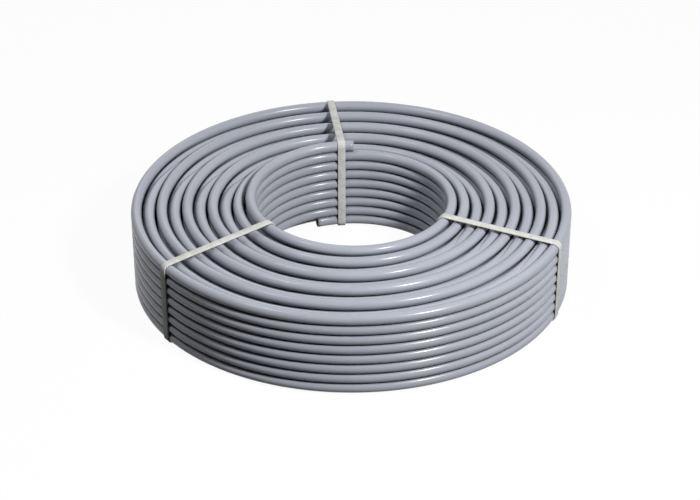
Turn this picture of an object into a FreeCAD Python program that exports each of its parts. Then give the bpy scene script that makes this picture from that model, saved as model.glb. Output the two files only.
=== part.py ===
"""A coil of plastic pipe, wound flat in layers and held by three straps.

Millimetres, +Z up. The origin is under the middle of the coil, on the surface that it lies on.
Azimuths are clockwise seen from above, from +Y, in degrees.

The wound pipe is one turned solid: its side walls show one round rib for each level of turns, and its
two ends one ring for each turn across. The last turn climbs over the bore's edge to the open pipe end.
Each strap is a closed band, drawn tight round the whole section.
"""
import FreeCAD, Part
import math
import os

# --- pipe ---
PIPE_OD = 20.0            # outside diameter
PIPE_WALL = 2.0           # wall thickness

# --- winding ---
BORE_DIAMETER = 360.0     # clear eye of the coil
TURNS_ACROSS = 10         # turns side by side, from the bore out
LEVELS = 8                # turns on top of each other
TURN_GAP = 4.0            # clear gap between two turns side by side
LOW_TURN_DROP = 8.0       # every second turn lies this much lower on top
RIB_HALF_ANGLE = 70.0     # how far a rib of a side wall is round, each way from its middle

# --- last turn ---
TAIL_END_AZIMUTH = 361.4  # where the pipe ends, on top of its own last turn
TAIL_START_AZIMUTH = 60.0  # where the climbing turn stands clear of the level turns
TAIL_SEAT = 0.5           # how far the climbing turn presses into the turn under its end
END_BORE_DEPTH = 60.0     # how far the open end is hollow

# --- straps ---
STRAP_AZIMUTHS = {"strap_back": 354.0, "strap_right": 114.0, "strap_left": 234.0}
STRAP_WIDTH = 15.0
STRAP_THICKNESS = 2.4
STRAP_CLEARANCE = 0.3     # between a strap and the pipe

# --- worked out ---
PIPE_RADIUS = PIPE_OD / 2
TURN_PITCH = PIPE_OD + TURN_GAP
INNER_LINE = BORE_DIAMETER / 2 + PIPE_RADIUS
OUTER_LINE = INNER_LINE + (TURNS_ACROSS - 1) * TURN_PITCH
BOTTOM_LINE = STRAP_THICKNESS + STRAP_CLEARANCE + PIPE_RADIUS
TOP_LINE = BOTTOM_LINE + (LEVELS - 1) * PIPE_OD
TAIL_RISE = PIPE_OD - TAIL_SEAT


def turn_line(turn):
    """Radius of the middle of a turn, counted from 1 at the bore."""
    return INNER_LINE + (turn - 1) * TURN_PITCH


def top_line(turn):
    """Height of the middle of the uppermost pipe of a turn."""
    is_low = turn % 2 == 1 and 1 < turn < TURNS_ACROSS
    return TOP_LINE - (LOW_TURN_DROP if is_low else 0.0)


def level_line(level):
    """Height of the middle of a level, counted from 1 at the bottom."""
    return BOTTOM_LINE + (level - 1) * PIPE_OD


def tail_rise(azimuth):
    """How far the climbing turn has risen above the top level: half on each side of the coil."""
    swing = math.cos(math.radians(azimuth))
    if azimuth <= 180:
        return TAIL_RISE / 4 * (1 - swing)
    return TAIL_RISE / 2 + TAIL_RISE / 4 * (1 + swing)


def on_circle(middle, radius, angle):
    """A point of the section, in the XZ plane, on a circle round middle."""
    turn = math.radians(angle)
    return FreeCAD.Vector(middle[0] + radius * math.cos(turn), 0, middle[1] + radius * math.sin(turn))


def arc(middle, radius, start, end):
    """An arc of the section, from one angle to the other."""
    points = [on_circle(middle, radius, angle) for angle in (start, (start + end) / 2, end)]
    return Part.Arc(*points).toShape()


def section_arcs():
    """The round outlines of the winding's section, anticlockwise from the bore's lowest pipe."""
    open_side = 180 - RIB_HALF_ANGLE
    arcs = []
    for turn in range(1, TURNS_ACROSS + 1):
        start = open_side if turn == 1 else 180
        end = 360 + RIB_HALF_ANGLE if turn == TURNS_ACROSS else 360
        arcs.append(((turn_line(turn), BOTTOM_LINE), start, end))
    for level in range(2, LEVELS):
        arcs.append(((OUTER_LINE, level_line(level)), -RIB_HALF_ANGLE, RIB_HALF_ANGLE))
    for turn in range(TURNS_ACROSS, 0, -1):
        start = -RIB_HALF_ANGLE if turn == TURNS_ACROSS else 0
        end = 360 - open_side if turn == 1 else 180
        arcs.append(((turn_line(turn), top_line(turn)), start, end))
    for level in range(LEVELS - 1, 1, -1):
        arcs.append(((INNER_LINE, level_line(level)), open_side, 360 - open_side))
    return arcs


def joining_lines(start, end):
    """The floor of the groove between two arcs, with a step down to it or up from it."""
    floor = min(start.z, end.z)
    points = [start, FreeCAD.Vector(start.x, 0, floor), FreeCAD.Vector(end.x, 0, floor), end]
    if abs(start.x - end.x) < TURN_GAP / 2:
        points = [start, end]
    pairs = zip(points, points[1:])
    return [Part.makeLine(first, second) for first, second in pairs if first.distanceToPoint(second) > 1e-6]


def turned_winding():
    """The wound pipe as one turned solid, with its eye."""
    arcs = section_arcs()
    edges = []
    for number, (middle, start, end) in enumerate(arcs):
        next_middle, next_start, _ = arcs[(number + 1) % len(arcs)]
        edges.append(arc(middle, PIPE_RADIUS, start, end))
        leave = on_circle(middle, PIPE_RADIUS, end)
        meet = on_circle(next_middle, PIPE_RADIUS, next_start)
        edges.extend(joining_lines(leave, meet))
    outline = Part.Wire(Part.__sortEdges__(edges))
    return Part.Face(outline).revolve(FreeCAD.Vector(0, 0, 0), FreeCAD.Vector(0, 0, 1), 360)


def climbing_arc(radius, start, end, low, high):
    """A pipe along a tilted half turn that is at height low at one side of the coil and high at the other.

    The half turn lies in a plane that tilts about the X axis, so its arc is a plain turned ring.
    """
    tilt = math.degrees(math.atan2((high - low) / 2, INNER_LINE))
    if start < 180:
        tilt = -tilt
    reach = math.hypot(INNER_LINE, (high - low) / 2)
    disc = Part.Face(Part.Wire(Part.makeCircle(radius, FreeCAD.Vector(0, reach, 0), FreeCAD.Vector(1, 0, 0))))
    disc.rotate(FreeCAD.Vector(0, 0, 0), FreeCAD.Vector(0, 0, 1), -start)
    tube = disc.revolve(FreeCAD.Vector(0, 0, 0), FreeCAD.Vector(0, 0, 1), start - end)
    tube.rotate(FreeCAD.Vector(0, 0, 0), FreeCAD.Vector(1, 0, 0), tilt)
    tube.translate(FreeCAD.Vector(0, 0, TOP_LINE + (low + high) / 2))
    return tube


def climbing_turn():
    """The last turn, in two tilted half turns, with its open end."""
    first = climbing_arc(PIPE_RADIUS, TAIL_START_AZIMUTH, 180, 0, TAIL_RISE / 2)
    second = climbing_arc(PIPE_RADIUS, 180, TAIL_END_AZIMUTH, TAIL_RISE / 2, TAIL_RISE)
    return first, second


def open_end():
    """The hollow of the pipe end, as long as END_BORE_DEPTH."""
    span = math.degrees(END_BORE_DEPTH / INNER_LINE)
    hollow_radius = PIPE_RADIUS - PIPE_WALL
    return climbing_arc(hollow_radius, TAIL_END_AZIMUTH - span, TAIL_END_AZIMUTH, TAIL_RISE / 2, TAIL_RISE)


def pipe_coil():
    first, second = climbing_turn()
    coil = turned_winding().fuse([first, second])
    return coil.cut(open_end())


def band_outline(middles, radius):
    """The tight closed line round equal circles, given anticlockwise."""
    edges = []
    count = len(middles)
    normals = []
    for number in range(count):
        here, there = middles[number], middles[(number + 1) % count]
        normals.append(math.degrees(math.atan2(there[1] - here[1], there[0] - here[0])) - 90)
    for number in range(count):
        arrive = normals[number - 1]
        leave = arrive + (normals[number] - arrive) % 360
        edges.append(arc(middles[number], radius, arrive, leave))
        start = on_circle(middles[number], radius, leave)
        end = on_circle(middles[(number + 1) % count], radius, leave)
        edges.append(Part.makeLine(start, end))
    return Part.Face(Part.Wire(edges))


def strap(azimuth):
    """A closed band round the section, tight over the climbing turn at its azimuth."""
    corners = [
        (INNER_LINE, BOTTOM_LINE),
        (OUTER_LINE, BOTTOM_LINE),
        (OUTER_LINE, TOP_LINE),
        (INNER_LINE, TOP_LINE + tail_rise(azimuth)),
    ]
    inside = PIPE_RADIUS + STRAP_CLEARANCE
    band = band_outline(corners, inside + STRAP_THICKNESS).cut(band_outline(corners, inside))
    solid = band.extrude(FreeCAD.Vector(0, STRAP_WIDTH, 0))
    solid.translate(FreeCAD.Vector(0, -STRAP_WIDTH / 2, 0))
    solid.rotate(FreeCAD.Vector(0, 0, 0), FreeCAD.Vector(0, 0, 1), 90 - azimuth)
    return solid


def main():
    os.makedirs("parts", exist_ok=True)
    nodes = {"pipe_coil": pipe_coil()}
    for name, azimuth in STRAP_AZIMUTHS.items():
        nodes[name] = strap(azimuth)
    for name, shape in nodes.items():
        box = shape.BoundBox
        print(name, "solids", len(shape.Solids), "valid", shape.isValid(), "volume", round(shape.Volume),
              "box", [round(v, 2) for v in (box.XMin, box.YMin, box.ZMin, box.XMax, box.YMax, box.ZMax)])
        shape.exportStep("parts/" + name + ".step")


main()
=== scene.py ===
# %% [markdown]
# # A coil of plastic pipe, wound flat
#
# The object is one long pipe of bluish grey plastic, 20 mm across, wound into a flat coil and held by
# three straps. The construction model gives its true size as one plain turned solid. This lesson winds
# the visible pipe on it: each turn is a ring of pipe, and the turns that cross on top are strands that
# rise and sink in the grooves between their neighbours.
#
# Everything is in metres, +Z up. Azimuths are in degrees, clockwise from +Y as seen from above.

# %% Load the construction model
import bisect
import math
import bmesh
import bpy
from mathutils import Matrix, Vector


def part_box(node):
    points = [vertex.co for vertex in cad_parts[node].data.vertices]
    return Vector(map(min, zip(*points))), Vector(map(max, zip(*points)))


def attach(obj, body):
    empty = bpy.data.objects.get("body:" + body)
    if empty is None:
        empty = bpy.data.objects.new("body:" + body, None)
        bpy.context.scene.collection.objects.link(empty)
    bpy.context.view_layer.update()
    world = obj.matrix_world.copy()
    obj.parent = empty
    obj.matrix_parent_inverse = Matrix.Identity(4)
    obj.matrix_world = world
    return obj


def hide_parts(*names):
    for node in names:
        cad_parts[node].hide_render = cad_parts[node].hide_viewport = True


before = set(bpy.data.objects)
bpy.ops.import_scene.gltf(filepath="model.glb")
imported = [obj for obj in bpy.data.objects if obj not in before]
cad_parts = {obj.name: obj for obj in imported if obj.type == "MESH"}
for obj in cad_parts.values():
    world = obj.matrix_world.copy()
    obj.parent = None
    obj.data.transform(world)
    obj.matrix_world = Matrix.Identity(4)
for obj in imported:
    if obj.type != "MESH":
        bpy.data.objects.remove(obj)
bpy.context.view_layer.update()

# %% [markdown]
# ## The sizes that everything follows
#
# The coil is ten turns across and eight levels high. The middle lines of its turns come from the box of
# the construction model's coil, so the winding starts from exactly where that solid is. A turn's place is
# its radius and its height, and the levels are one pipe diameter apart, from the lowest one up.

# %% The winding's sizes
PIPE_DIAMETER = 0.020
PIPE_WALL = 0.002
PIPE_RADIUS = PIPE_DIAMETER / 2
TURN_PITCH = 0.024
TURNS_ACROSS = 10
LEVELS = 8

coil_low, coil_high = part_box("pipe_coil")
OUTER_LINE = coil_high[0] - PIPE_RADIUS
INNER_LINE = OUTER_LINE - (TURNS_ACROSS - 1) * TURN_PITCH
BOTTOM_LINE = coil_low[2] + PIPE_RADIUS
TOP_LINE = BOTTOM_LINE + (LEVELS - 1) * PIPE_DIAMETER
print("radii of the first and last turns, mm:", [round(r * 1000) for r in (INNER_LINE, OUTER_LINE)])

# %% [markdown]
# ## A short way to write materials
#
# Both finishes of this object, the pipe's plastic and the straps' felt, are small node trees. They could
# be built in the shader editor. Written out, each node takes three or four lines, so one helper adds a
# node, sets its menus and fills or links its inputs in a single call.

# %% Material tools
def input_of(node, label):
    """A node's input by its name, or by its number where the label is i0, i1 and so on."""
    if label[0] == "i" and label[1:].isdigit():
        return node.inputs[int(label[1:])]
    return node.inputs[label]


def new_material(name):
    """A material, its Principled shader, a function that adds a node, and one that links two sockets."""
    material = bpy.data.materials.new(name)
    material.use_nodes = True
    tree = material.node_tree
    shader = tree.nodes["Principled BSDF"]

    def node(kind, settings=None, **inputs):
        made = tree.nodes.new(kind)
        for setting, value in (settings or {}).items():
            setattr(made, setting, value)
        for label, value in inputs.items():
            socket = input_of(made, label)
            if isinstance(value, bpy.types.NodeSocket):
                tree.links.new(value, socket)
            else:
                socket.default_value = value
        return made

    return material, shader, node, tree.links.new


def blend_colours(node, link, share, first, second):
    """A colour between two, by a share."""
    mix = node("ShaderNodeMix", {"data_type": "RGBA"})
    mix.inputs[6].default_value = (*first, 1)
    mix.inputs[7].default_value = (*second, 1)
    link(share, mix.inputs[0])
    return mix.outputs[2]


print("material tools ready")

# %% [markdown]
# ## Satin plastic for the pipe
#
# Extruded pipe has a satin skin: its colour is even, but it carries faint lines along its length from
# the die, soft scuffs from handling, and a slight change of tone from turn to turn. Stretched noise makes
# the die lines and the tone, and a plain noise the scuffs. The pipe runs in circles, so the stretched
# noise is fed with polar coordinates worked out from Object coordinates: radius and height change across
# the pipe, and the azimuth along it.
#
# Deep between the turns a coil is almost black, because light hardly gets in. Lamps alone leave the
# grooves too pale, so shade is painted into the colour: an Ambient Occlusion node, which tells how open a
# place is, scales the colour down where another turn is within a centimetre.

# %% The pipe's colour, shine and relief
PIPE_DARK = (0.34, 0.355, 0.41)
PIPE_LIGHT = (0.44, 0.458, 0.52)
PIPE_SHINE = 0.25
SMOOTHEST, ROUGHEST = 0.18, 0.25  # roughness of clean and of scuffed plastic
DIE_LINES = {"across": 900, "lengthwise": 3, "detail": 2}
DIE_LINE_DEPTH, DIE_LINE_STRENGTH = 0.0004, 0.10
TURN_TONE = {"across": 40, "lengthwise": 1.5, "detail": 1}
SCUFFS = {"Scale": 70.0, "Detail": 5.0, "Roughness": 0.65}
SCUFF_LOW, SCUFF_HIGH = 0.35, 0.70  # the stretch of the noise that counts as clean to scuffed
SCUFF_DEPTH, SCUFF_STRENGTH = 0.001, 0.04
print("pipe colours:", PIPE_DARK, "to", PIPE_LIGHT)

# %% How dark the painted shade in the grooves is
GROOVE_REACH = 0.010  # how near another turn has to be to darken the plastic
GROOVE_SAMPLES = 6
GROOVE_SHUT, GROOVE_OPEN = 0.10, 0.70  # how open a place is where it is darkest, and where it is plain
# the darkest share of the colour that the painted shade leaves
PAINTED_SHADE_DARKEST = 0.03
print("grooves go down to", PAINTED_SHADE_DARKEST, "of the colour")


# %% The pipe's satin plastic, with painted shade in its grooves
def satin_pipe():
    material, shader, node, link = new_material("satin_pipe")
    place = node("ShaderNodeTexCoord").outputs["Object"]
    parts = node("ShaderNodeSeparateXYZ", i0=place).outputs
    azimuth = node("ShaderNodeMath", {"operation": "ARCTAN2"}, i0=parts[0], i1=parts[1]).outputs[0]
    flat = node("ShaderNodeVectorMath", {"operation": "MULTIPLY"}, i0=place, i1=(1, 1, 0)).outputs[0]
    radius = node("ShaderNodeVectorMath", {"operation": "LENGTH"}, i0=flat).outputs["Value"]
    along = node("ShaderNodeCombineXYZ", i0=radius, i1=azimuth, i2=parts[2]).outputs[0]

    def streaks(across, lengthwise, detail):
        """Noise with so many cells to a metre across the pipe, and to a radian along it."""
        scaled = node("ShaderNodeVectorMath", {"operation": "MULTIPLY"}, i0=along,
                      i1=(across, lengthwise, across)).outputs[0]
        return node("ShaderNodeTexNoise", Vector=scaled, Scale=1.0, Detail=detail).outputs[0]

    die_lines = streaks(**DIE_LINES)
    turn_tone = streaks(**TURN_TONE)
    scuffs = node("ShaderNodeTexNoise", Vector=place, **SCUFFS).outputs[0]
    tone = blend_colours(node, link, turn_tone, PIPE_DARK, PIPE_LIGHT)
    # Painted shade: the colour is scaled down where another turn closes the pipe in.
    openness = node("ShaderNodeAmbientOcclusion", {"samples": GROOVE_SAMPLES},
                    Distance=GROOVE_REACH).outputs["AO"]
    shade = node("ShaderNodeMapRange", i0=openness, i1=GROOVE_SHUT, i2=GROOVE_OPEN,
                 i3=PAINTED_SHADE_DARKEST, i4=1.0).outputs[0]
    tone_with_painted_shade = node("ShaderNodeVectorMath", {"operation": "SCALE"}, i0=tone, Scale=shade).outputs[0]
    link(tone_with_painted_shade, shader.inputs["Base Color"])
    roughness = node("ShaderNodeMapRange", i0=scuffs, i1=SCUFF_LOW, i2=SCUFF_HIGH,
                     i3=SMOOTHEST, i4=ROUGHEST).outputs[0]
    link(roughness, shader.inputs["Roughness"])
    fine = node("ShaderNodeBump", Strength=DIE_LINE_STRENGTH, Distance=DIE_LINE_DEPTH,
                Height=die_lines).outputs[0]
    soft = node("ShaderNodeBump", Strength=SCUFF_STRENGTH, Distance=SCUFF_DEPTH, Height=scuffs,
                Normal=fine).outputs[0]
    link(soft, shader.inputs["Normal"])
    shader.inputs["Specular IOR Level"].default_value = PIPE_SHINE
    return material


PIPE_FINISH = satin_pipe()
print("finish made:", PIPE_FINISH.name, "with", len(PIPE_FINISH.node_tree.nodes), "nodes")

# %% [markdown]
# ## Rings of pipe
#
# A turn of the pipe is a circle swept round the coil's axis. A curve with a round bevel could make it,
# but a spin shows plainly what happens and gives clean rings of quads: one circle, stood up in the
# section plane, is spun round the axis. A closed turn merges its last circle with its first. An open
# strand stops short, and each end is filled.
#
# Real turns aren't quite level. The stack stands a few millimetres higher at the back, where the
# winding is looser, so each ring's points are lifted by a smooth wave that grows with their height.

# %% The rise at the back
BACK_LIFT = 0.0061


def azimuth_of(point):
    """The azimuth of a point, from 0 to 360."""
    return math.degrees(math.atan2(point.x, point.y)) % 360


def lift_at(azimuth, height):
    """How far the loose stack has risen at an azimuth: most at the back and at the top."""
    swing = (1 + math.cos(math.radians(azimuth))) / 2
    return BACK_LIFT * swing * (height - BOTTOM_LINE) / (TOP_LINE - BOTTOM_LINE)


print("rise of the top level at the back, mm:", round(lift_at(0, TOP_LINE) * 1000, 1))

# %% Spinning pipe
FINE_STEPS, FINE_SIDES = 240, 20
COARSE_STEPS, COARSE_SIDES = 120, 12
FEWEST_STEPS = 8


def section_circle(bm, line, height, start, sides):
    """One circle of pipe, standing in the section plane at an azimuth; its edges are returned."""
    stand = Matrix.Rotation(-math.radians(start), 4, "Z") @ Matrix.Translation((0, line, height))
    stand = stand @ Matrix.Rotation(math.pi / 2, 4, "Y")
    made = bmesh.ops.create_circle(bm, cap_ends=False, segments=sides, radius=PIPE_RADIUS, matrix=stand)
    return list({edge for vert in made["verts"] for edge in vert.link_edges})


def pipe_strand(line, height, start, end, shift=None, fine=True):
    """A strand of pipe from one azimuth to another, as its own bmesh.

    shift(azimuth) gives how far the strand is moved outwards and upwards there. A point's azimuth is
    counted on from the strand's start, with one degree of room for points just short of it.
    """
    strand = bmesh.new()
    steps, sides = (FINE_STEPS, FINE_SIDES) if fine else (COARSE_STEPS, COARSE_SIDES)
    span = end - start
    closed = span == 360
    edges = section_circle(strand, line, height, start, sides)
    bmesh.ops.spin(strand, geom=edges, cent=(0, 0, 0), axis=(0, 0, 1), angle=-math.radians(span),
                   steps=max(FEWEST_STEPS, round(steps * span / 360)), use_merge=closed)
    if not closed:
        rims = [edge for edge in strand.edges if edge.is_boundary]
        bmesh.ops.holes_fill(strand, edges=rims, sides=sides)
    for vert in strand.verts:
        azimuth = azimuth_of(vert.co)
        if shift is not None:
            along = start + (azimuth - start + 1) % 360 - 1
            outwards, upwards = shift(along)
            vert.co += Vector((vert.co.x, vert.co.y, 0)).normalized() * outwards
            vert.co.z += upwards
        vert.co.z += lift_at(azimuth, vert.co.z)
    bmesh.ops.recalc_face_normals(strand, faces=strand.faces)
    return strand


print("a fine ring has", FINE_STEPS, "steps of", FINE_SIDES, "sides")
print("a coarse ring has", COARSE_STEPS, "steps of", COARSE_SIDES, "sides")


# %% One piece from several strands
def join_strands(name, strands, material):
    """One piece from several strands. It rides on the coil's only body."""
    mesh = bpy.data.meshes.new(name)
    whole = bmesh.new()
    for strand in strands:
        strand.to_mesh(mesh)
        whole.from_mesh(mesh)
        strand.free()
    whole.to_mesh(mesh)
    whole.free()
    mesh.materials.append(material)
    mesh.shade_smooth()
    piece = bpy.data.objects.new(name, mesh)
    bpy.context.scene.collection.objects.link(piece)
    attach(piece, "root")
    return piece


print("pieces ride on the body root")

# %% [markdown]
# ## The five standing columns
#
# Counted from the bore, every second column (2, 4, 6, 8 and 10) is a straight stack of eight level
# rings. Their middles stand 2.4 pipe diameters apart, and they hold the winding's shape. Only the
# outermost one shows on the outer wall, and only the top and bottom rings of the others show, so the
# rings that are hidden between them are made coarser.

# %% Wind the standing columns
STANDING_COLUMNS = (2, 4, 6, 8, 10)


def column_line(column):
    """Radius of the middle of a column, counted from 1 at the bore."""
    return INNER_LINE + (column - 1) * TURN_PITCH


def level_height(level):
    """Height of the middle of a level, counted from 1 at the bottom."""
    return BOTTOM_LINE + (level - 1) * PIPE_DIAMETER


pipe_pieces = []
for column in STANDING_COLUMNS:
    rings = []
    for level in range(1, LEVELS + 1):
        shows = column == TURNS_ACROSS or level in (1, LEVELS)
        rings.append(pipe_strand(column_line(column), level_height(level), 0, 360, fine=shows))
    pipe_pieces.append(join_strands("turns_%02d" % column, rings, PIPE_FINISH))
print("standing columns:", [(piece.name, len(piece.data.polygons)) for piece in pipe_pieces])

# %% [markdown]
# ## The crossing strands between them
#
# The pipe between two standing columns has room to wander. On top it shows as strands that come up from
# below, run for part of the way round beside one neighbour, cross to the other and sink again, one
# strand taking over from the last. Their courses are the same in all four grooves.
#
# A course is a short list of given stations: azimuth, how far outwards of the groove's middle,
# and how far under the standing columns' tops, the last two in pipe diameters. A smooth line runs through
# them. The azimuths of the north course go on past 360, because it crosses the back of the coil. Two of
# the courses run on top, and the other two are dim strands deep beside them.

# %% The courses of the strands
NORTH_COURSE = [(250, 0.30, 1.60), (258, 0.30, 1.05), (266, 0.31, 0.80), (280, 0.32, 0.68),
                (290, 0.28, 0.58), (300, 0.13, 0.50), (310, -0.08, 0.44), (322, -0.27, 0.44),
                (335, -0.33, 0.47), (360, -0.33, 0.50), (400, -0.33, 0.48), (420, -0.30, 0.42),
                (440, -0.16, 0.26), (457, 0.0, 0.10), (468, 0.12, 0.10), (480, 0.23, 0.22),
                (491, 0.32, 0.62), (500, 0.33, 1.15), (510, 0.30, 1.80)]
UNDER_NORTH_COURSE = [(286, -0.20, 2.0), (305, -0.33, 1.48), (360, -0.33, 1.48), (400, -0.26, 1.42),
                      (425, 0.05, 1.36), (445, 0.28, 1.30), (464, 0.33, 1.45), (490, 0.20, 2.0)]
SOUTH_COURSE = [(78, -0.30, 1.80), (90, -0.33, 1.15), (98, -0.33, 0.80), (106, -0.33, 0.62),
                (115, -0.28, 0.52), (124, -0.18, 0.46), (131, -0.05, 0.43), (140, 0.08, 0.40),
                (160, 0.20, 0.38), (185, 0.25, 0.42), (206, 0.25, 0.42), (220, 0.22, 0.36),
                (232, 0.17, 0.26), (244, 0.10, 0.16), (257, 0.02, 0.10), (270, -0.08, 0.12),
                (280, -0.20, 0.22), (290, -0.30, 0.46), (299, -0.33, 0.80), (308, -0.30, 1.25),
                (318, -0.30, 1.80)]
UNDER_SOUTH_COURSE = [(190, 0.0, 1.90), (204, -0.16, 1.30), (216, -0.26, 1.04), (230, -0.29, 0.94),
                      (242, -0.28, 1.0), (256, -0.16, 1.25), (274, 0.0, 1.90)]
COURSES = [NORTH_COURSE, UNDER_NORTH_COURSE, SOUTH_COURSE, UNDER_SOUTH_COURSE]
print("each course runs from and to:", [(course[0][0], course[-1][0]) for course in COURSES])


# %% The smooth line through the stations
def station_value(stations, which, azimuth):
    """A smooth value between stations: a cubic whose slope at each comes from its two neighbours."""
    places = [station[0] for station in stations]
    values = [station[which] for station in stations]
    last = len(stations) - 1

    def slope(number):
        before, after = max(number - 1, 0), min(number + 1, last)
        return (values[after] - values[before]) / (places[after] - places[before])

    number = min(max(bisect.bisect_right(places, azimuth) - 1, 0), last - 1)
    span = places[number + 1] - places[number]
    t = min(max((azimuth - places[number]) / span, 0), 1)
    rise = values[number + 1] - values[number]
    start, end = slope(number) * span, slope(number + 1) * span
    square_part = 3 * rise - 2 * start - end
    cube_part = start + end - 2 * rise
    return values[number] + t * start + t ** 2 * square_part + t ** 3 * cube_part


def course_shift(stations):
    """How far a strand that starts on the top level moves, at each azimuth of its course."""
    def shift(azimuth):
        outwards = station_value(stations, 1, azimuth) * PIPE_DIAMETER
        upwards = -station_value(stations, 2, azimuth) * PIPE_DIAMETER
        return outwards, upwards
    return shift


back_of_north = course_shift(NORTH_COURSE)(360)
print("north strand at the back, mm outwards and up:", [round(move * 1000, 1) for move in back_of_north])

# %% Wind the crossing columns
CROSSING_COLUMNS = (3, 5, 7, 9)
HIDDEN_LEVELS = LEVELS - 2

for column in CROSSING_COLUMNS:
    line = column_line(column)
    strands = []
    for level in range(1, HIDDEN_LEVELS + 1):
        strands.append(pipe_strand(line, level_height(level), 0, 360, fine=(level == 1)))
    for course in COURSES:
        start, end = course[0][0], course[-1][0]
        strands.append(pipe_strand(line, TOP_LINE, start, end, course_shift(course)))
    pipe_pieces.append(join_strands("turns_%02d" % column, strands, PIPE_FINISH))
crossing_pieces = pipe_pieces[len(STANDING_COLUMNS):]
print("crossing columns:", [(piece.name, len(piece.data.polygons)) for piece in crossing_pieces])

# %% [markdown]
# ## The innermost column, with both ends of the pipe
#
# Round the eye the pipe is one true helix. It starts at the foot of the bore's back wall, climbs about
# one diameter for each turn, clockwise, and its last turn rests on the turn below it, so it stands proud
# of the coil's top and ends at the back. The spin operator can climb as it turns, so the helix needs no
# formula of its own. The time that a spin takes grows with the square of its steps, so the helix is spun
# in sixteen stretches that are then merged.
#
# Both ends are sawn square: each end face is inset by the wall's thickness, and the inner loop is spun
# back into the pipe to make its hollow.

# %% The helix's sizes
PIPE_START_AZIMUTH = -21.0
LAST_TURN_END = 361.4
PIPE_END_AZIMUTH = LAST_TURN_END + 360 * (LEVELS - 1)
LAST_TURN_RISE = 0.975 * PIPE_DIAMETER
CLIMB_TOP = TOP_LINE + LAST_TURN_RISE
CLIMB_PER_DEGREE = (CLIMB_TOP - BOTTOM_LINE) / (PIPE_END_AZIMUTH - PIPE_START_AZIMUTH)
HELIX_STEPS_PER_TURN = 200
HELIX_STRETCHES = 16
MERGE_REACH = PIPE_RADIUS / 50
print("the helix climbs, mm a turn:", round(CLIMB_PER_DEGREE * 360 * 1000, 2))

# %% A sawn and hollow end
END_HOLLOW = 0.050
HOLLOW_STEPS = 12


def hollow_end(bm, rim, azimuth_step, climb_step):
    """Give a sawn end its wall and its hollow: rim is the end's edge loop.

    The steps are how far the hollow runs back round the coil, in degrees, and how far it climbs.
    """
    face = bmesh.ops.contextual_create(bm, geom=rim)["faces"][0]
    bmesh.ops.inset_region(bm, faces=[face], thickness=PIPE_WALL, use_even_offset=True)
    inner = list(face.edges)
    bmesh.ops.delete(bm, geom=[face], context="FACES_ONLY")
    spun = bmesh.ops.spin(bm, geom=inner, cent=(0, 0, 0), axis=(0, 0, 1), steps=HOLLOW_STEPS,
                          angle=-math.radians(azimuth_step), dvec=(0, 0, climb_step / HOLLOW_STEPS))
    hollow_floor = [part for part in spun["geom_last"] if isinstance(part, bmesh.types.BMEdge)]
    bmesh.ops.contextual_create(bm, geom=hollow_floor)


print("each end is hollow for, mm:", round(END_HOLLOW * 1000))


# %% A stretch of the helix
def helix_stretch(start, span):
    """A stretch of the helix, shorter than a turn, with both of its ends open."""
    stretch = bmesh.new()
    rise = CLIMB_PER_DEGREE * (start - PIPE_START_AZIMUTH)
    rim = section_circle(stretch, INNER_LINE, BOTTOM_LINE + rise, start, FINE_SIDES)
    steps = round(HELIX_STEPS_PER_TURN * span / 360)
    bmesh.ops.spin(stretch, geom=rim, cent=(0, 0, 0), axis=(0, 0, 1), steps=steps,
                   angle=-math.radians(span), dvec=(0, 0, CLIMB_PER_DEGREE * span / steps))
    return stretch


print("each stretch spans, degrees:", round((PIPE_END_AZIMUTH - PIPE_START_AZIMUTH) / HELIX_STRETCHES))


# %% Wind the innermost column
def innermost_helix():
    """The whole helix, merged from its stretches, with both ends hollowed."""
    helix = bmesh.new()
    carrier = bpy.data.meshes.new("stretch")
    span = (PIPE_END_AZIMUTH - PIPE_START_AZIMUTH) / HELIX_STRETCHES
    for number in range(HELIX_STRETCHES):
        stretch = helix_stretch(PIPE_START_AZIMUTH + number * span, span)
        stretch.to_mesh(carrier)
        helix.from_mesh(carrier)
        stretch.free()
    bmesh.ops.remove_doubles(helix, verts=helix.verts, dist=MERGE_REACH)
    rims = [edge for edge in helix.edges if edge.is_boundary]
    half_way_up = (BOTTOM_LINE + CLIMB_TOP) / 2
    first_rim = [edge for edge in rims if edge.verts[0].co.z < half_way_up]
    last_rim = [edge for edge in rims if edge.verts[0].co.z > half_way_up]
    back = math.degrees(END_HOLLOW / INNER_LINE)
    hollow_end(helix, last_rim, -back, -CLIMB_PER_DEGREE * back)
    hollow_end(helix, first_rim, back, CLIMB_PER_DEGREE * back)
    for vert in helix.verts:
        vert.co.z += lift_at(azimuth_of(vert.co), vert.co.z)
    bmesh.ops.recalc_face_normals(helix, faces=helix.faces)
    return helix


pipe_pieces.append(join_strands("turns_01", [innermost_helix()], PIPE_FINISH))
for piece in pipe_pieces:
    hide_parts("pipe_coil")
print("pipe pieces:", len(pipe_pieces), "faces:", sum(len(piece.data.polygons) for piece in pipe_pieces))

# %% [markdown]
# ## Felted plastic for the straps
#
# The straps are off-white and quite dull, with a fine mottle like felt. Two noises make it: a fine one
# for the fibres, which also raises the surface a little, and a coarser one for pale and dark blotches.
# Their sum blends two whites.

# %% The strap's felted plastic
STRAP_DARK = (0.58, 0.575, 0.53)
STRAP_LIGHT = (0.76, 0.76, 0.73)
FIBRES = {"Scale": 260.0, "Detail": 4.0, "Roughness": 0.6}
BLOTCHES = {"Scale": 60.0, "Detail": 2.0}
MOTTLE_LOW, MOTTLE_HIGH = 0.75, 1.25
FIBRE_DEPTH, FIBRE_STRENGTH = 0.0006, 0.5
STRAP_ROUGHNESS = 0.85
STRAP_SHINE = 0.1


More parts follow.
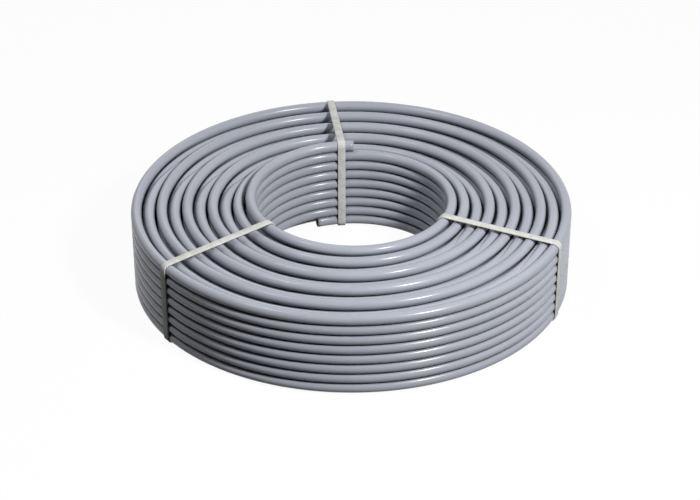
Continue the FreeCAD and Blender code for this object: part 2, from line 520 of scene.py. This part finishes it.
def felted_strap():
    material, shader, node, link = new_material("felted_strap")
    place = node("ShaderNodeTexCoord").outputs["Object"]
    fibres = node("ShaderNodeTexNoise", Vector=place, **FIBRES).outputs[0]
    blotches = node("ShaderNodeTexNoise", Vector=place, **BLOTCHES).outputs[0]
    mottle = node("ShaderNodeMath", {"operation": "ADD"}, i0=fibres, i1=blotches).outputs[0]
    share = node("ShaderNodeMapRange", i0=mottle, i1=MOTTLE_LOW, i2=MOTTLE_HIGH, i3=0.0, i4=1.0).outputs[0]
    colour = blend_colours(node, link, share, STRAP_DARK, STRAP_LIGHT)
    link(colour, shader.inputs["Base Color"])
    bump = node("ShaderNodeBump", Strength=FIBRE_STRENGTH, Distance=FIBRE_DEPTH, Height=fibres).outputs[0]
    link(bump, shader.inputs["Normal"])
    shader.inputs["Roughness"].default_value = STRAP_ROUGHNESS
    shader.inputs["Specular IOR Level"].default_value = STRAP_SHINE
    return material


STRAP_FINISH = felted_strap()
print("finish made:", STRAP_FINISH.name, "with", len(STRAP_FINISH.node_tree.nodes), "nodes")

# %% [markdown]
# ## Three straps
#
# Each strap is a flat band, drawn tight round the whole section of the coil and joined to itself. A tight
# band touches only the corners of what it holds, and runs straight between them. That is what a convex
# hull is, so the hull of eight circles, a pair at each corner of the section, gives the band's inner
# face. The circles have no faces of their own, because faces left inside the hull would spoil it. The
# hull's two flat sides are deleted, and what stays gets a thickness and soft edges.

# %% Where the straps run
STRAP_WIDTH = 0.015
STRAP_THICKNESS = 0.0022
STRAP_CLEARANCE = 0.0003
STRAP_AZIMUTHS = {"strap_back": 354.0, "strap_right": 114.0, "strap_left": 234.0}


def helix_top(azimuth):
    """Height of the middle of the innermost column's last turn."""
    return CLIMB_TOP - CLIMB_PER_DEGREE * ((PIPE_END_AZIMUTH - azimuth) % 360)


def strap_corners(azimuth):
    """The middles of the four corner pipes that a strap goes round, as radius and height."""
    inner_top = helix_top(azimuth)
    return [(INNER_LINE, BOTTOM_LINE), (OUTER_LINE, BOTTOM_LINE),
            (OUTER_LINE, TOP_LINE + lift_at(azimuth, TOP_LINE)),
            (INNER_LINE, inner_top + lift_at(azimuth, inner_top))]


for name, azimuth in STRAP_AZIMUTHS.items():
    rise = strap_corners(azimuth)[3][1] - strap_corners(azimuth)[2][1]
    print(name, "slopes up towards the eye by, mm:", round(rise * 1000, 1))

# %% The inner face of a strap
CORNER_SIDES = 48
SIDEWAYS = 0.5  # a face that looks this much along X belongs to a flat side of the hull
FLAT_ENOUGH = 0.05  # triangles whose angle is under this, in radians, become one face
ANY_SHAPE = 3.2  # radians, over half a turn, so that no shape of face is refused
RUN_CUTS = 24


def strap_inner_face(azimuth):
    """The hull round the section's corners without its flat sides, standing over the +Y axis."""
    band = bmesh.new()
    upright = Matrix.Rotation(math.pi / 2, 4, "Y")
    for line, height in strap_corners(azimuth):
        for side in (-STRAP_WIDTH / 2, STRAP_WIDTH / 2):
            bmesh.ops.create_circle(band, cap_ends=False, segments=CORNER_SIDES,
                                    radius=PIPE_RADIUS + STRAP_CLEARANCE,
                                    matrix=Matrix.Translation((side, line, height)) @ upright)
    hull = bmesh.ops.convex_hull(band, input=band.verts, use_existing_faces=False)
    inside = [part for part in hull["geom_interior"] if isinstance(part, bmesh.types.BMVert)]
    bmesh.ops.delete(band, geom=inside, context="VERTS")
    band.normal_update()
    sides = [face for face in band.faces if abs(face.normal.x) > SIDEWAYS]
    bmesh.ops.delete(band, geom=sides, context="FACES")
    bmesh.ops.join_triangles(band, faces=band.faces, angle_face_threshold=FLAT_ENOUGH,
                             angle_shape_threshold=ANY_SHAPE)
    runs = [edge for edge in band.edges if edge.calc_length() > STRAP_WIDTH * 2]
    bmesh.ops.subdivide_edges(band, edges=runs, cuts=RUN_CUTS, use_grid_fill=True)
    bmesh.ops.recalc_face_normals(band, faces=band.faces)
    return band


print("radius of a strap's corners, mm:", round((PIPE_RADIUS + STRAP_CLEARANCE) * 1000, 1))

# %% Draw the straps tight
SHARP_EDGE = 1.0  # radians
SOFT_EDGE, SOFT_EDGE_STEPS = 0.0006, 2


def strap_band(azimuth):
    """A closed band with thickness and soft edges, turned to its azimuth."""
    band = strap_inner_face(azimuth)
    bmesh.ops.solidify(band, geom=band.faces, thickness=-STRAP_THICKNESS)
    bmesh.ops.recalc_face_normals(band, faces=band.faces)
    rims = [edge for edge in band.edges if edge.calc_face_angle(0) > SHARP_EDGE]
    bmesh.ops.bevel(band, geom=rims, offset=SOFT_EDGE, offset_type="OFFSET", affect="EDGES",
                    segments=SOFT_EDGE_STEPS, profile=0.5, material=-1)
    turn = Matrix.Rotation(-math.radians(azimuth), 3, "Z")
    bmesh.ops.rotate(band, cent=(0, 0, 0), matrix=turn, verts=band.verts)
    return band


for name, azimuth in STRAP_AZIMUTHS.items():
    strap = join_strands("felted_" + name, [strap_band(azimuth)], STRAP_FINISH)
    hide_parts(name)
    print(strap.name, "faces:", len(strap.data.polygons))

# %% [markdown]
# ## White surroundings
#
# The coil is shown in front of white. A white world would also light it from all sides and fill its
# grooves, so the world is white only for rays that come from the camera, from a reflection or through
# something clear. For all other rays it is almost dark, and the lamps do the lighting.

# %% Which rays see white
def seen_rays(nodes, links):
    """One where a ray comes from the camera, a reflection or a see-through surface."""
    path = nodes.new("ShaderNodeLightPath")
    total = path.outputs["Is Camera Ray"]
    for kind in ("Is Glossy Ray", "Is Transmission Ray"):
        most = nodes.new("ShaderNodeMath")
        most.operation = "MAXIMUM"
        links.new(total, most.inputs[0])
        links.new(path.outputs[kind], most.inputs[1])
        total = most.outputs[0]
    return total


print("white for camera, glossy and transmission rays")

# %% White surroundings
AMBIENT = 0.01

world = bpy.data.worlds.new("white_surroundings")
world.use_nodes = True
bpy.context.scene.world = world
world_nodes, world_links = world.node_tree.nodes, world.node_tree.links
sky = world_nodes["Background"]
brightness = world_nodes.new("ShaderNodeMapRange")
brightness.inputs["To Min"].default_value = AMBIENT
brightness.inputs["To Max"].default_value = 1.0
world_links.new(seen_rays(world_nodes, world_links), brightness.inputs["Value"])
world_links.new(brightness.outputs[0], sky.inputs["Strength"])
sky.inputs["Color"].default_value = (1, 1, 1, 1)
print("surroundings lit at", AMBIENT)

# %% [markdown]
# ## The floor
#
# The coil lies on a plain pale floor. The floor reads as white mostly by a glow that only the camera and
# reflections see, and its own dark grey throws little light back at the coil. What the lamps add to the
# grey is missing in the coil's shadow, so the soft shadow still shows.

# %% The floor
FLOOR_SIZE = 30.0
FLOOR_GREY = (0.05, 0.05, 0.05)
FLOOR_GLOW = 0.95


def floor_material():
    material = bpy.data.materials.new("pale_floor")
    material.use_nodes = True
    nodes, links = material.node_tree.nodes, material.node_tree.links
    nodes.remove(nodes["Principled BSDF"])
    matt = nodes.new("ShaderNodeBsdfDiffuse")
    matt.inputs["Color"].default_value = (*FLOOR_GREY, 1)
    glow = nodes.new("ShaderNodeEmission")
    strength = nodes.new("ShaderNodeMath")
    strength.operation = "MULTIPLY"
    strength.inputs[1].default_value = FLOOR_GLOW
    links.new(seen_rays(nodes, links), strength.inputs[0])
    links.new(strength.outputs[0], glow.inputs["Strength"])
    total = nodes.new("ShaderNodeAddShader")
    links.new(matt.outputs[0], total.inputs[0])
    links.new(glow.outputs[0], total.inputs[1])
    links.new(total.outputs[0], nodes["Material Output"].inputs["Surface"])
    return material


floor_mesh = bpy.data.meshes.new("floor")
floor_bm = bmesh.new()
bmesh.ops.create_grid(floor_bm, x_segments=1, y_segments=1, size=FLOOR_SIZE / 2)
floor_bm.to_mesh(floor_mesh)
floor_bm.free()
floor = bpy.data.objects.new("floor", floor_mesh)
bpy.context.scene.collection.objects.link(floor)
floor_mesh.materials.append(floor_material())
print("floor, metres across:", FLOOR_SIZE)

# %% [markdown]
# ## The lamps
#
# Three soft square lamps light the coil. A small strong one, in front on the right, makes the streaks of
# light across the turns: the smaller the lamp, the narrower the streaks. A weaker one stands high on the
# left and shapes the turns there. A weak one behind keeps the coil's back from going black.

# %% The lamps
def soft_lamp(name, azimuth, elevation, distance, size, power):
    """A square soft lamp that looks at the coil. Its size is its side, in metres."""
    lamp = bpy.data.lights.new(name, "AREA")
    lamp.shape = "SQUARE"
    lamp.size = size
    lamp.energy = power
    holder = bpy.data.objects.new(name, lamp)
    bpy.context.scene.collection.objects.link(holder)
    flat = distance * math.cos(math.radians(elevation))
    place = Vector((flat * math.sin(math.radians(azimuth)), flat * math.cos(math.radians(azimuth)),
                    distance * math.sin(math.radians(elevation))))
    holder.location = place
    holder.rotation_euler = (-place).to_track_quat("-Z", "Y").to_euler()
    return holder


lamps = [soft_lamp("key_lamp", azimuth=139, elevation=44, distance=3.0, size=0.4, power=82),
         soft_lamp("left_lamp", azimuth=258, elevation=66, distance=3.2, size=0.8, power=26),
         soft_lamp("back_lamp", azimuth=345, elevation=36, distance=3.0, size=1.5, power=9)]
print("lamps, watts:", [(lamp.name, lamp.data.energy) for lamp in lamps])

# %% [markdown]
# ## The camera
#
# The camera stands in front of the coil and looks down at about thirty degrees with a long lens, so the
# coil's far side is only a little smaller than its near side and the eye shows as an oval.

# %% Place the camera
VIEW_TARGET = Vector((-0.0023, 0.0, 0.0521))
VIEW_DISTANCE = 3.767
VIEW_ELEVATION = 30.58
LENS = 100.75
SENSOR_WIDTH = 36

camera_data = bpy.data.cameras.new("camera")
camera_data.lens = LENS
camera_data.sensor_width = SENSOR_WIDTH
camera = bpy.data.objects.new("camera", camera_data)
bpy.context.scene.collection.objects.link(camera)
tilt = math.radians(VIEW_ELEVATION)
camera.location = VIEW_TARGET + VIEW_DISTANCE * Vector((0, -math.cos(tilt), math.sin(tilt)))
camera.rotation_euler = (math.pi / 2 - tilt, 0, 0)
bpy.context.scene.camera = camera
bpy.context.scene.view_settings.view_transform = "Standard"
print("camera at", [round(value, 3) for value in camera.location])
